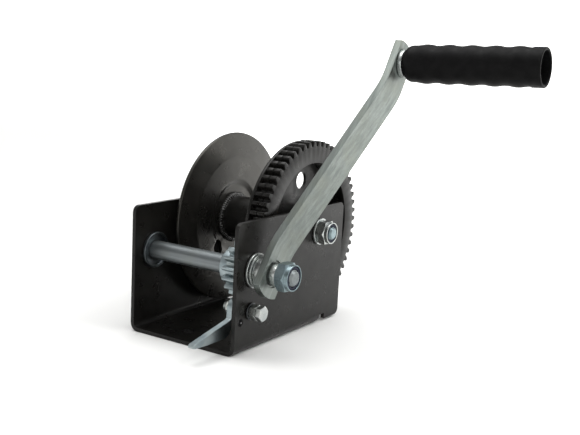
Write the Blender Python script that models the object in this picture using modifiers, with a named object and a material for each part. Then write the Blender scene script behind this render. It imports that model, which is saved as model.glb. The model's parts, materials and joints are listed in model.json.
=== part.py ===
"""Boat trailer winch: a geared strap winch with a ratchet pawl and a crank handle.

Sizes are in millimetres and turned into metres where the geometry is made.  +Z is up and +X is the
crank's side.  The origin is the middle of the frame's base, on its underside.
"""

import math

import bmesh
import bpy
from mathutils import Matrix, Vector

MM = 0.001
GAP = 0.3

# Frame: a channel bent from plate, open at the top, with its sides running on behind the base.
FRAME_HALF_WIDTH = 48.0
PLATE = 3.0
FRAME_HEIGHT = 94.4
BASE_LENGTH = 113.0
SIDE_LENGTH = 141.4
BEND_RADIUS = 6.5
CORNER_RADIUS = 5.0
NOTCH_LENGTH = 7.0
TAIL_BOTTOM = 2.0
FRONT_Y = -BASE_LENGTH / 2
INNER_X = FRAME_HALF_WIDTH - PLATE
BASE_HOLE_RADIUS = 4.5
BASE_HOLES = ((-8.5, 19.2), (8.5, 19.2), (0.0, 95.0))
SHAFT_HOLE_RADIUS_RIGHT = 11.3
SHAFT_HOLE_RADIUS_LEFT = 10.3

# Gears: involute teeth, thinned at the pitch circle so that the pair runs with backlash.
MODULE = 2.25
GEAR_TEETH = 60
PINION_TEETH = 16
PRESSURE_ANGLE = math.radians(20)
TOOTH_THINNING = 0.16
GEAR_ADDENDUM = 1.4
PINION_ADDENDUM = 2.25
CENTRE_DISTANCE = MODULE * (GEAR_TEETH + PINION_TEETH) / 2
CENTRE_TILT = math.radians(10.99)
DRUM_Y = FRONT_Y + 105.1
DRUM_Z = 75.3
PINION_Y = DRUM_Y - CENTRE_DISTANCE * math.cos(CENTRE_TILT)
PINION_Z = DRUM_Z - CENTRE_DISTANCE * math.sin(CENTRE_TILT)
GEAR_TOOTH_ANGLE = math.radians(186.92)
GEAR_BORE_RADIUS = 52.0
GEAR_OUTER_FACE = 40.9
GEAR_RING_THICKNESS = 6.2
PINION_FACES = (33.6, 44.4)
PINION_COLLAR_RADIUS = 12.8
PINION_COLLAR_START = 26.0

# Drum
FLANGE_THICKNESS = 2.6
FLANGE_RADIUS = 68.7
RIGHT_FLANGE_RADIUS = 68.0
RIGHT_FLANGE_FACES = (25.3, 27.9)
TUBE_RADIUS = 17.5
TUBE_BORE = 13.0
TUBE_HALF_LENGTH = 41.5
LEFT_HUB_FACE = -34.2
ROPE_HOLE_PLACE = (-21.2, -22.3)
ROPE_HOLE_RADIUS = 6.0
SIGHT_HOLE_RADIUS = 6.6
SIGHT_HOLE_CIRCLE = 37.0

# Axle of the drum: an M10 bolt through a spacer sleeve that the drum turns on.
AXLE_RADIUS = 5.0
AXLE_CLEARANCE = 5.4
SLEEVE_RADIUS = 8.0
M10_ACROSS_FLATS = 17.0

# Pinion shaft
SHAFT_RADIUS = 7.0
JOURNAL_RADIUS = 8.0
DRIVE_HALF_FLATS = 6.0
THREAD_RADIUS = 6.0
M12_ACROSS_FLATS = 19.0
ARM_FACE = 64.3

# Crank arm: a flat bar with an offset between two flat ends.
ARM_TILT = math.radians(35.05)
ARM_WIDTH = 24.6
ARM_THICKNESS = 5.5
ARM_THROW = 179.3
ARM_FOOT = -17.0
ARM_TIP = 194.5
ARM_END_RADIUS = 25.0
OFFSET_START = 18.0
OFFSET_END = 156.0
ARM_TOP_FACE = 99.8
PIN_LEAN = math.radians(1.6)

# Grip and its pin; X positions here are measured from the arm's outer face at the pin.
PIN_RADIUS = 5.0
GRIP_START = 3.6
GRIP_END = 106.0
GRIP_RADIUS = 13.7
GRIP_WAVE = 0.45
GRIP_WAVE_PITCH = 17.0
GRIP_WAVE_START = 11.0
GRIP_WAVE_COUNT = 5
GRIP_HOLLOW_RADIUS = 11.7
GRIP_HOLLOW_START = 56.0

# Pawl and its M6 bolt; pawl outline points are measured from the bolt's axis.
PAWL_Y = FRONT_Y + 18.0
PAWL_Z = 30.0
PAWL_FACES = (33.0, 37.5)
PAWL_SWING = math.radians(9.5)
PAWL_HUB_RADIUS = 8.0
PAWL_SPACE_STEPS = 3
PAWL_BOLT_RADIUS = 3.0
M6_ACROSS_FLATS = 10.0
SPRING_HOLE = (FRONT_Y + 6.4, 24.1)
SPRING_HOLE_RADIUS = 2.75
SPRING_RADIUS = 6.2
SPRING_WIRE = 0.6
SPRING_TURNS = 2.45
SPRING_SPAN = (43.9, 39.9)

# Local X, Y and Z become world Y, Z and X, so a shape turned about local Z lies along the axles.
ALONG_X = Matrix(((0, 0, 1, 0), (1, 0, 0, 0), (0, 1, 0, 0), (0, 0, 0, 1)))


def clear_scene():
    for old in list(bpy.data.objects):
        bpy.data.objects.remove(old, do_unlink=True)


def new_collection(name):
    collection = bpy.data.collections.new(name)
    bpy.context.scene.collection.children.link(collection)
    return collection


clear_scene()
WINCH = new_collection("boat_trailer_winch")
CUTTERS = new_collection("cutters")


def material(name, colour, roughness, metallic):
    made = bpy.data.materials.new(name)
    made.use_nodes = True
    shader = made.node_tree.nodes["Principled BSDF"]
    shader.inputs["Base Color"].default_value = (*colour, 1.0)
    shader.inputs["Roughness"].default_value = roughness
    shader.inputs["Metallic"].default_value = metallic
    return made


BLACK_PAINT = material("black_paint", (0.012, 0.012, 0.011), 0.38, 0.0)
ZINC = material("zinc", (0.42, 0.46, 0.45), 0.32, 1.0)
ZINC_DARK = material("zinc_dark", (0.22, 0.27, 0.30), 0.28, 1.0)
STEEL = material("steel", (0.50, 0.50, 0.49), 0.30, 1.0)
SPRING_STEEL = material("spring_steel", (0.30, 0.30, 0.31), 0.30, 1.0)
WELD = material("weld", (0.014, 0.014, 0.013), 0.5, 0.0)
NYLON = material("nylon", (0.01, 0.012, 0.03), 0.45, 0.0)
BRONZE = material("bronze", (0.45, 0.33, 0.18), 0.42, 1.0)
GRIP_PLASTIC = material("grip_plastic", (0.006, 0.006, 0.006), 0.42, 0.0)


def axis_empty(name, location, parent=None, rotation=(0.0, 0.0, 0.0)):
    empty = bpy.data.objects.new(name, None)
    empty.location = Vector(location) * MM
    empty.rotation_euler = rotation
    empty.parent = parent
    WINCH.objects.link(empty)
    return empty


PINION_AXIS = axis_empty("pinion_axis", (0, PINION_Y, PINION_Z))
DRUM_AXIS = axis_empty("drum_axis", (0, DRUM_Y, DRUM_Z))
PAWL_AXIS = axis_empty("pawl_axis", (0, PAWL_Y, PAWL_Z))
ARM_FRAME = axis_empty("arm_frame", (0, 0, 0), PINION_AXIS, (-ARM_TILT, 0, 0))
GRIP_AXIS = axis_empty("grip_axis", (ARM_TOP_FACE, 0, ARM_THROW), ARM_FRAME, (0, -PIN_LEAN, 0))


def add_mesh(name, mesh, parent=None, turned=True, look=None, cutter=False):
    """Link a mesh object; turned objects lie along the axle direction of their parent."""
    made = bpy.data.objects.new(name, mesh)
    made.parent = parent
    if turned:
        made.rotation_euler = ALONG_X.to_euler()
    if cutter:
        CUTTERS.objects.link(made)
        made.hide_render = True
        made.display_type = "WIRE"
    else:
        WINCH.objects.link(made)
        made.data.materials.append(look)
        made.data.shade_smooth()
        made.data.set_sharp_from_angle(angle=math.radians(32))
    return made


def mesh_from(build):
    """A new mesh filled by the function build, in millimetres, and scaled to metres."""
    shape = bmesh.new()
    build(shape)
    bmesh.ops.scale(shape, vec=(MM, MM, MM), verts=shape.verts)
    mesh = bpy.data.meshes.new("shape")
    shape.to_mesh(mesh)
    shape.free()
    return mesh


def turned(name, profile, parent, look=None, steps=24, cutter=False):
    """Revolve (radius, x) points, listed down the outer side first, about the parent's X axis."""

    def build(shape):
        rim = [shape.verts.new((radius, 0.0, x)) for radius, x in profile]
        for first, second in zip(rim, rim[1:]):
            shape.edges.new((first, second))
        if profile[0][0] > 0 and profile[-1][0] > 0:
            shape.edges.new((rim[-1], rim[0]))

    made = add_mesh(name, mesh_from(build), parent, look=look, cutter=cutter)
    screw = made.modifiers.new("turn", "SCREW")
    screw.steps = steps
    screw.render_steps = steps
    screw.use_merge_vertices = True
    screw.merge_threshold = 0.00001
    screw.use_smooth_shade = True
    return made


def ring(name, outer, inner, start, end, parent, look, steps=24, chamfer=0.0):
    """A washer, bush or tube between two X positions, with its outer edges chamfered."""
    cut = chamfer
    profile = [(outer - cut, end), (outer, end - cut), (outer, start + cut), (outer - cut, start)]
    if not cut:
        profile = [(outer, end), (outer, start)]
    return turned(name, profile + [(inner, start), (inner, end)], parent, look, steps)


def rod(radius, start, end, parent, name="rod_cutter", steps=24):
    return turned(name, [(0, end), (radius, end), (radius, start), (0, start)], parent,
                  steps=steps, cutter=True)


def flat_shape(name, loops, start, end, parent, look=None, cutter=False):
    """Extrude closed outlines in the YZ plane from one X position to another; later loops are holes."""
    curve = bpy.data.curves.new(name, "CURVE")
    curve.dimensions = "2D"
    curve.fill_mode = "BOTH"
    curve.extrude = (end - start) / 2 * MM
    for loop in loops:
        spline = curve.splines.new("POLY")
        spline.points.add(len(loop) - 1)
        for point, (y, z) in zip(spline.points, loop):
            point.co = (y * MM, z * MM, 0.0, 1.0)
        spline.use_cyclic_u = True
    outline = bpy.data.objects.new(name + "_outline", curve)
    WINCH.objects.link(outline)
    mesh = bpy.data.meshes.new_from_object(outline.evaluated_get(bpy.context.evaluated_depsgraph_get()))
    bpy.data.objects.remove(outline, do_unlink=True)
    shape = bmesh.new()
    shape.from_mesh(mesh)
    bmesh.ops.remove_doubles(shape, verts=shape.verts, dist=0.00001)
    bmesh.ops.translate(shape, verts=shape.verts, vec=(0, 0, (start + end) / 2 * MM))
    bmesh.ops.recalc_face_normals(shape, faces=shape.faces)
    shape.to_mesh(mesh)
    shape.free()
    return add_mesh(name, mesh, parent, look=look, cutter=cutter)


def boolean(target, tool, operation="DIFFERENCE"):
    step = target.modifiers.new(operation.lower(), "BOOLEAN")
    step.operation = operation
    step.object = tool


def circle(radius, count, centre=(0.0, 0.0)):
    turn = 2 * math.pi / count
    return [(centre[0] + radius * math.cos(turn * i), centre[1] + radius * math.sin(turn * i))
            for i in range(count)]


def hexagon(across_flats, turn=0.0):
    radius = across_flats / math.sqrt(3)
    return [(radius * math.cos(turn + math.pi / 3 * i), radius * math.sin(turn + math.pi / 3 * i))
            for i in range(6)]


def arc(radius, first, last, count):
    """Points on an arc about the origin, from one angle in degrees to another."""
    step = math.radians(last - first) / (count - 1)
    return [(radius * math.cos(math.radians(first) + step * i),
             radius * math.sin(math.radians(first) + step * i)) for i in range(count)]


# ---------------------------------------------------------------- frame


def frame_sheet(shape):
    """The outer surface of the bent plate, open at its edges, drawn from the front to the back."""
    bend = [(FRAME_HALF_WIDTH - BEND_RADIUS + y, BEND_RADIUS + z)
            for y, z in arc(BEND_RADIUS, -90, 0, 7)]
    right = bend + [(FRAME_HALF_WIDTH, FRAME_HEIGHT)]
    section = [(-x, z) for x, z in reversed(right)] + right
    front = [shape.verts.new((x, FRONT_Y, z)) for x, z in section]
    edges = [shape.edges.new(pair) for pair in zip(front, front[1:])]

    def extrude(rows, length):
        moved = bmesh.ops.extrude_edge_only(shape, edges=rows)["geom"]
        ends = [item for item in moved if isinstance(item, bmesh.types.BMVert)]
        bmesh.ops.translate(shape, verts=ends, vec=(0, length, 0))
        return [item for item in moved if isinstance(item, bmesh.types.BMEdge)]

    def is_side(edge):
        return all(abs(vert.co.x) > FRAME_HALF_WIDTH - 0.01 for vert in edge.verts)

    def rows_at(y):
        return [edge for edge in shape.edges
                if all(abs(vert.co.y - y) < 0.01 for vert in edge.verts) and is_side(edge)]

    extrude(edges, BASE_LENGTH)
    base_end = FRONT_Y + BASE_LENGTH
    extrude(rows_at(base_end), NOTCH_LENGTH)
    extrude(rows_at(base_end + NOTCH_LENGTH), SIDE_LENGTH - BASE_LENGTH - NOTCH_LENGTH)
    tail = [edge for edge in shape.edges
            if all(abs(vert.co.z - BEND_RADIUS) < 0.01 and vert.co.y > base_end + NOTCH_LENGTH - 0.01
                   for vert in edge.verts)]
    lowered = bmesh.ops.extrude_edge_only(shape, edges=tail)["geom"]
    bmesh.ops.translate(shape, vec=(0, 0, TAIL_BOTTOM - BEND_RADIUS),
                        verts=[item for item in lowered if isinstance(item, bmesh.types.BMVert)])
    back = FRONT_Y + SIDE_LENGTH
    ends = [vert for vert in shape.verts if vert.co.y < FRONT_Y + 0.01 or vert.co.y > back - 0.01]
    corners = [vert for vert in ends
               if vert.co.z > FRAME_HEIGHT - 0.01 or (vert.co.z < TAIL_BOTTOM + 0.01 and vert.co.y > 0)]
    bmesh.ops.bevel(shape, geom=corners, offset=CORNER_RADIUS, segments=5, profile=0.5,
                    affect="VERTICES")
    bmesh.ops.recalc_face_normals(shape, faces=shape.faces)


def plate_hole(frame, radius, y, z, side):
    """Cut a round hole through the side plate at one end of X."""
    middle = side * (FRAME_HALF_WIDTH - PLATE / 2)
    hole = axis_empty("hole_axis", (0, y, z))
    boolean(frame, rod(radius, middle - PLATE, middle + PLATE, hole))


def build_frame():
    frame = add_mesh("frame", mesh_from(frame_sheet), turned=False, look=BLACK_PAINT)
    thicken = frame.modifiers.new("plate", "SOLIDIFY")
    thicken.thickness = PLATE * MM
    thicken.offset = -1
    thicken.use_even_offset = True
    plate_hole(frame, SHAFT_HOLE_RADIUS_RIGHT, PINION_Y, PINION_Z, 1)
    plate_hole(frame, SHAFT_HOLE_RADIUS_LEFT, PINION_Y, PINION_Z, -1)
    for side in (-1, 1):
        plate_hole(frame, AXLE_CLEARANCE, DRUM_Y, DRUM_Z, side)
    plate_hole(frame, PAWL_BOLT_RADIUS + 0.4, PAWL_Y, PAWL_Z, 1)
    plate_hole(frame, SPRING_HOLE_RADIUS, *SPRING_HOLE, 1)
    for x, from_front in BASE_HOLES:
        drill = rod(BASE_HOLE_RADIUS, -PLATE, 2 * PLATE, None, "base_hole_cutter")
        drill.rotation_euler = (0, 0, 0)
        drill.location = Vector((x, FRONT_Y + from_front, 0)) * MM
        boolean(frame, drill)


# ---------------------------------------------------------------- nuts and bolts


def nyloc_nut(name, across_flats, bore, start, end, parent):
    """A lock nut: a chamfered hexagon, and a round collar that holds a nylon ring."""
    collar_start = start + 0.72 * (end - start)
    half = across_flats / 2
    collar = half * 0.93
    insert_radius = bore + 0.32 * (collar - bore) + 0.9
    nut = flat_shape(name, [hexagon(across_flats)], start, collar_start, parent, ZINC_DARK)
    form = turned("nut_form", [(0, collar_start + 0.5), (half * 0.93, collar_start + 0.5),
                               (half * 1.18, collar_start - 1.7), (half * 1.18, start + 1.7),
                               (half * 0.93, start - 0.5), (0, start - 0.5)], parent, cutter=True)
    boolean(nut, form, "INTERSECT")
    disc = turned("nut_collar", [(0, end), (collar - 0.8, end), (collar, end - 0.8),
                                 (collar, collar_start - 1.0), (0, collar_start - 1.0)],
                  parent, cutter=True)
    boolean(nut, disc, "UNION")
    boolean(nut, rod(bore, start - 1, end + 1, parent))
    boolean(nut, rod(insert_radius + GAP, collar_start + 0.3, end + 1, parent))
    ring(name + "_insert", insert_radius, bore, collar_start + 0.6, end - 0.8, parent, NYLON, 24)


def hex_piece(name, across_flats, start, end, parent, look, bore=0.0, crown=1):
    """A plain hexagon nut or head with one crowned side: 1 for the high-X side, -1 for the low."""
    piece = flat_shape(name, [hexagon(across_flats, math.radians(12))], start, end, parent, look)
    half = across_flats / 2
    low, high = (half * 1.2, half * 0.96) if crown > 0 else (half * 0.96, half * 1.2)
    form = turned("hex_form", [(0, end + 0.2), (high, end + 0.2), (half * 1.2, end - half * 0.14),
                               (half * 1.2, start + half * 0.14), (low, start - 0.2),
                               (0, start - 0.2)], parent, cutter=True)
    boolean(piece, form, "INTERSECT")
    if bore:
        boolean(piece, rod(bore, start - 1, end + 1, parent))
    return piece


def build_axle():
    washer_start = FRAME_HALF_WIDTH + GAP
    washer_end = washer_start + 2.0
    nut_end = 60.3
    bolt = hex_piece("axle_bolt", M10_ACROSS_FLATS, -washer_end - GAP - 6.4, -washer_end - GAP,
                     DRUM_AXIS, ZINC_DARK, crown=-1)
    shank = turned("axle_shank", [(0, nut_end + 0.9), (AXLE_RADIUS - 1, nut_end + 0.9),
                                  (AXLE_RADIUS, nut_end - 0.1), (AXLE_RADIUS, -washer_end - 2.0),
                                  (0, -washer_end - 2.0)], DRUM_AXIS, cutter=True)
    boolean(bolt, shank, "UNION")
    ring("axle_washer_left", 10.2, AXLE_CLEARANCE, -washer_end, -washer_start, DRUM_AXIS, ZINC)
    ring("axle_washer_right", 10.2, AXLE_CLEARANCE, washer_start, washer_end, DRUM_AXIS, ZINC)
    nyloc_nut("axle_nut", M10_ACROSS_FLATS, AXLE_RADIUS + GAP, washer_end + GAP, nut_end, DRUM_AXIS)
    ring("axle_sleeve", SLEEVE_RADIUS, AXLE_RADIUS + 0.5, GAP - INNER_X, INNER_X - GAP, DRUM_AXIS, STEEL)


# ---------------------------------------------------------------- gears


def involute(angle):
    return math.tan(angle) - angle


def tooth_half_angle(radius, teeth):
    """Half of a tooth's angle at a radius; inside the base circle the flank is radial."""
    pitch_radius = MODULE * teeth / 2
    base_radius = pitch_radius * math.cos(PRESSURE_ANGLE)
    slope = math.acos(min(1.0, base_radius / max(radius, base_radius)))
    thinning = TOOTH_THINNING / 2 / pitch_radius
    return math.pi / 2 / teeth + involute(PRESSURE_ANGLE) - involute(slope) - thinning


def gear_outline(teeth, tooth_angle, flank_radii):
    """One closed outline; tooth_angle is where one tooth's middle points."""
    points = []
    for tooth in range(teeth):
        middle = tooth_angle + 2 * math.pi * tooth / teeth
        rising = [(radius, middle - tooth_half_angle(radius, teeth)) for radius in flank_radii]
        falling = [(radius, middle + tooth_half_angle(radius, teeth)) for radius in reversed(flank_radii)]
        points += [(radius * math.cos(angle), radius * math.sin(angle)) for radius, angle in rising + falling]
    return points


def flank_radii(teeth, addendum):
    """The radii of a flank's points, from the root to the tip."""
    pitch_radius = MODULE * teeth / 2
    base_radius = pitch_radius * math.cos(PRESSURE_ANGLE)
    root = pitch_radius - 1.25 * MODULE
    inner = [root, base_radius + 0.02, pitch_radius] if root < base_radius else [root]
    return inner + [pitch_radius + addendum]


def pinion_space_angle():
    """Where a pinion tooth space points, so that the gear's tooth nearest the pinion meshes with it."""
    ratio = GEAR_TEETH / PINION_TEETH
    return CENTRE_TILT - ratio * (GEAR_TOOTH_ANGLE - CENTRE_TILT - math.pi)


def build_ring_gear():
    outline = gear_outline(GEAR_TEETH, GEAR_TOOTH_ANGLE, flank_radii(GEAR_TEETH, GEAR_ADDENDUM))
    hole = circle(GEAR_BORE_RADIUS, 48)
    outer_start = GEAR_OUTER_FACE - GEAR_RING_THICKNESS
    inner_end = outer_start - GAP
    flat_shape("gear_ring_outer", [outline, hole], outer_start, GEAR_OUTER_FACE, DRUM_AXIS, BLACK_PAINT)
    flat_shape("gear_ring_inner", [outline, hole], inner_end - GEAR_RING_THICKNESS + GAP, inner_end,
               DRUM_AXIS, BLACK_PAINT)


def build_pinion():
    """The teeth, with a plain collar on their drum side, bored for the shaft."""
    tooth_angle = pinion_space_angle() + math.pi / PINION_TEETH
    outline = gear_outline(PINION_TEETH, tooth_angle, flank_radii(PINION_TEETH, PINION_ADDENDUM))
    start, end = PINION_FACES
    edge = 1.0
    pinion = flat_shape("pinion_gear", [outline], start, end, PINION_AXIS, ZINC)
    collar = turned("pinion_collar", [
        (0, start + 1), (PINION_COLLAR_RADIUS, start + 1),
        (PINION_COLLAR_RADIUS, PINION_COLLAR_START + edge),
        (PINION_COLLAR_RADIUS - edge, PINION_COLLAR_START), (0, PINION_COLLAR_START)], PINION_AXIS,
                    cutter=True)
    boolean(pinion, collar, "UNION")
    boolean(pinion, rod(SHAFT_RADIUS + GAP, PINION_COLLAR_START - 2, end + 2, PINION_AXIS))


# ---------------------------------------------------------------- drum


def flange_profile(faces):
    """A pressed disc's section from its inner-face (radius, x) points, given from the hub outwards."""
    outer_side = list(reversed(faces))
    return outer_side + [(radius, x - FLANGE_THICKNESS) for radius, x in faces]


def build_drum():
    bore = TUBE_RADIUS + GAP
    left = [(bore, LEFT_HUB_FACE), (27.0, LEFT_HUB_FACE), (30.0, -32.4), (49.5, -32.4), (54.0, -33.2),
            (FLANGE_RADIUS, -35.2)]
    flange = turned("drum_flange_left", flange_profile(left), DRUM_AXIS, BLACK_PAINT, steps=48)
    boolean(flange, flange_drill(*ROPE_HOLE_PLACE, ROPE_HOLE_RADIUS, -42, -26))
    start, end = RIGHT_FLANGE_FACES
    right = turned("drum_flange_right", [(RIGHT_FLANGE_RADIUS, end), (RIGHT_FLANGE_RADIUS, start),
                                         (bore, start), (bore, end)], DRUM_AXIS, BLACK_PAINT, steps=48)
    for turn in range(3):
        angle = math.radians(86 + 120 * turn)
        boolean(right, flange_drill(SIGHT_HOLE_CIRCLE * math.cos(angle), SIGHT_HOLE_CIRCLE * math.sin(angle),
                                    SIGHT_HOLE_RADIUS, start - 3, end + 3))
    ring("drum_hub_tube", TUBE_RADIUS, TUBE_BORE, -TUBE_HALF_LENGTH, TUBE_HALF_LENGTH, DRUM_AXIS, BLACK_PAINT)
    for side, name in ((-1, "drum_bush_left"), (1, "drum_bush_right")):
        build_drum_bush(name, side)
    weld_ring("hub_weld_left", LEFT_HUB_FACE + GAP, 1)
    weld_ring("hub_weld_right", start - GAP, -1)
    for number in range(4):
        build_gear_weld(number)


def flange_drill(y, z, radius, start, end):
    """A cutter parallel to the drum's axis, placed from that axis."""
    drill = rod(radius, start, end, DRUM_AXIS, "flange_hole_cutter", 20)
    drill.location = Vector((0, y, z)) * MM
    return drill


def build_drum_bush(name, side):
    """A flanged bush: its body is inside the tube's end and its flange covers the end."""
    inner, body, flange = SLEEVE_RADIUS + 0.35, TUBE_BORE - GAP, 16.6
    end = TUBE_HALF_LENGTH + GAP
    section = [(flange, end + 1.8), (flange, end), (body, end), (body, end - 14.0), (inner, end - 14.0),
               (inner, end + 1.8)]
    if side < 0:
        section = [(radius, -x) for radius, x in reversed(section)]
    turned(name, section, DRUM_AXIS, BRONZE)


def weld_ring(name, face, side):
    """A fillet between the hub tube and a flange, on the strap's side of the flange."""
    inner = TUBE_RADIUS + GAP
    section = [(inner, face + 3.4), (inner + 2.2, face + 2.2), (inner + 3.6, face), (inner, face)]
    if side < 0:
        section = [(inner, face), (inner + 3.6, face), (inner + 2.2, face - 2.2), (inner, face - 3.4)]
    turned(name, section, DRUM_AXIS, WELD, steps=24)


def build_gear_weld(number):
    """A short fillet in the corner between the gear rings' bore and the right flange."""
    middle = math.radians(94 + 90 * number)
    reach = math.radians(9)
    outer = GEAR_BORE_RADIUS - GAP - 0.2
    inner = outer - 3.6
    count = 9
    steps = [middle - reach + 2 * reach * i / (count - 1) for i in range(count)]
    loop = [(outer * math.cos(angle), outer * math.sin(angle)) for angle in steps]
    loop += [(inner * math.cos(angle), inner * math.sin(angle)) for angle in reversed(steps)]
    base = RIGHT_FLANGE_FACES[1] + GAP
    flat_shape(f"gear_weld_{number + 1}", [loop], base, base + 3.2, DRUM_AXIS, WELD)


# ---------------------------------------------------------------- pinion shaft and its bearings


def build_shaft():
    groove = SHAFT_RADIUS - 1.2
    thread_end = 81.8
    drive_start, drive_end = ARM_FACE - ARM_THICKNESS - GAP, 62.4
    shaft = turned("pinion_shaft", [
        (0, thread_end), (THREAD_RADIUS - 1.2, thread_end), (THREAD_RADIUS, thread_end - 1.2),
        (THREAD_RADIUS, drive_end), (JOURNAL_RADIUS, drive_end),
        (JOURNAL_RADIUS, PINION_FACES[1] + GAP), (SHAFT_RADIUS, PINION_FACES[1] + GAP),
        (SHAFT_RADIUS, -50.5), (groove, -50.5), (groove, -52.1), (SHAFT_RADIUS, -52.1),
        (SHAFT_RADIUS, -53.2), (SHAFT_RADIUS - 0.8, -54.0), (0, -54.0)], PINION_AXIS, STEEL)
    for side in (-1, 1):
        flat = flat_shape("drive_flat_cutter",
                          [[(side * DRIVE_HALF_FLATS, -10), (side * 12, -10), (side * 12, 10),
                            (side * DRIVE_HALF_FLATS, 10)]],
                          drive_start, drive_end + 0.2, ARM_FRAME, cutter=True)
        boolean(shaft, flat)
    plate_out = FRAME_HALF_WIDTH + GAP
    turned("shaft_bush_right", [(12.6, plate_out + 2.0), (12.6, plate_out), (11.0, plate_out),
                                (11.0, INNER_X + 0.2), (JOURNAL_RADIUS + 0.35, INNER_X + 0.2),
                                (JOURNAL_RADIUS + 0.35, plate_out + 2.0)], PINION_AXIS, ZINC)
    inside = -INNER_X + GAP
    outside = FRAME_HALF_WIDTH + 0.6
    turned("shaft_bush_left", [(13.5, inside + 2.5), (13.5, inside), (10.0, inside),
                               (10.0, -outside), (SHAFT_RADIUS + 0.35, -outside),
                               (SHAFT_RADIUS + 0.35, inside + 2.5)], PINION_AXIS, ZINC)
    ring("thrust_washer", 11.8, JOURNAL_RADIUS + GAP, 50.8, 52.3, PINION_AXIS, ZINC)
    ring("shaft_spacer", 10.2, JOURNAL_RADIUS + GAP, 52.6, 58.5, PINION_AXIS, ZINC)
    ring("shaft_washer_left", 11.5, SHAFT_RADIUS + GAP, -50.2, -48.9, PINION_AXIS, ZINC)
    retaining_ring = ring("shaft_retaining_ring", 9.6, groove + GAP, -51.8, -50.8, PINION_AXIS,
                          SPRING_STEEL)
    mouth = flat_shape("ring_mouth_cutter", [[(-3, 0), (3, 0), (5, 14), (-5, 14)]], -53, -50,
                       PINION_AXIS, cutter=True)
    boolean(retaining_ring, mouth)


# ---------------------------------------------------------------- crank arm and grip


def arm_side_section():
    """The bent bar seen edge on: (along, x) points on its outer face, then back along its inner face."""
    lean = math.tan(PIN_LEAN)
    tip_face = ARM_TOP_FACE - lean * (ARM_TIP + 5 - ARM_THROW)
    bend_face = ARM_TOP_FACE + lean * (ARM_THROW - OFFSET_END)
    start_point, end_point = Vector((OFFSET_START, ARM_FACE)), Vector((OFFSET_END, bend_face))
    outer = [(ARM_FOOT - 5, ARM_FACE)]
    outer += rounded_corner(Vector((ARM_FOOT, ARM_FACE)), start_point, end_point)
    outer += rounded_corner(start_point, end_point, Vector((ARM_TIP + 5, tip_face)))
    outer += [(ARM_TIP + 5, tip_face)]
    inner = [(along + ARM_THICKNESS * nx, x + ARM_THICKNESS * ny)
             for (along, x), (nx, ny) in zip(outer, inward_normals(outer))]
    return outer + list(reversed(inner))


def rounded_corner(before, corner, after, reach=9.0, count=5):
    """Points of a smooth bend that starts and ends a little way from the corner."""
    start = corner + (before - corner).normalized() * reach
    end = corner + (after - corner).normalized() * reach
    points = []
    for i in range(count):
        t = i / (count - 1)
        points.append(tuple((1 - t) ** 2 * start + 2 * t * (1 - t) * corner + t * t * end))
    return points


def inward_normals(points):
    """Unit normals towards the bar's inner face, at each point of its outer face."""
    normals = []
    for i in range(len(points)):
        before, after = Vector(points[max(i - 1, 0)]), Vector(points[min(i + 1, len(points) - 1)])
        along = (after - before).normalized()
        normals.append((along.y, -along.x))
    return normals


def arm_plan():
    """The bar seen face on: straight sides, with an arc across each end."""
    half = ARM_WIDTH / 2
    spread = math.degrees(math.asin(half / ARM_END_RADIUS))
    foot = [(y, z + ARM_FOOT + ARM_END_RADIUS) for y, z in arc(ARM_END_RADIUS, -90 - spread, -90 + spread, 9)]
    tip = [(y, z + ARM_TIP - ARM_END_RADIUS) for y, z in arc(ARM_END_RADIUS, 90 - spread, 90 + spread, 9)]
    return foot + tip


def build_crank_arm():
    section = arm_side_section()

    def build(shape):
        half = ARM_WIDTH / 2 + 2
        rows = [shape.verts.new((x, -half, along)) for along, x in section]
        face = shape.faces.new(rows)
        moved = bmesh.ops.extrude_face_region(shape, geom=[face])["geom"]
        bmesh.ops.translate(shape, vec=(0, 2 * half, 0),
                            verts=[item for item in moved if isinstance(item, bmesh.types.BMVert)])
        bmesh.ops.recalc_face_normals(shape, faces=shape.faces)

    arm = add_mesh("crank_arm", mesh_from(build), ARM_FRAME, turned=False, look=ZINC)
    plan = flat_shape("arm_plan_cutter", [arm_plan()], 40, 120, ARM_FRAME, cutter=True)
    boolean(arm, plan, "INTERSECT")
    half = DRIVE_HALF_FLATS + GAP
    wall = math.degrees(math.acos(half / (JOURNAL_RADIUS + GAP)))
    radius = JOURNAL_RADIUS + GAP
    drive_hole = arc(radius, wall, 180 - wall, 9) + arc(radius, 180 + wall, 360 - wall, 9)
    boolean(arm, flat_shape("drive_hole_cutter", [drive_hole], 50, 75, ARM_FRAME, cutter=True))
    boolean(arm, rod(9.7, ARM_FACE - 1.5, ARM_FACE + 6, PINION_AXIS, "recess_cutter"))
    boolean(arm, rod(PIN_RADIUS + GAP, -15, 10, GRIP_AXIS, "pin_hole_cutter"))
    ring("crank_collar", JOURNAL_RADIUS, THREAD_RADIUS + GAP, ARM_FACE - 1.5 + GAP, 69.7, PINION_AXIS, ZINC,
         chamfer=0.6)
    nyloc_nut("crank_nut", M12_ACROSS_FLATS, THREAD_RADIUS + GAP, 70.0, 81.1, PINION_AXIS)


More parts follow.
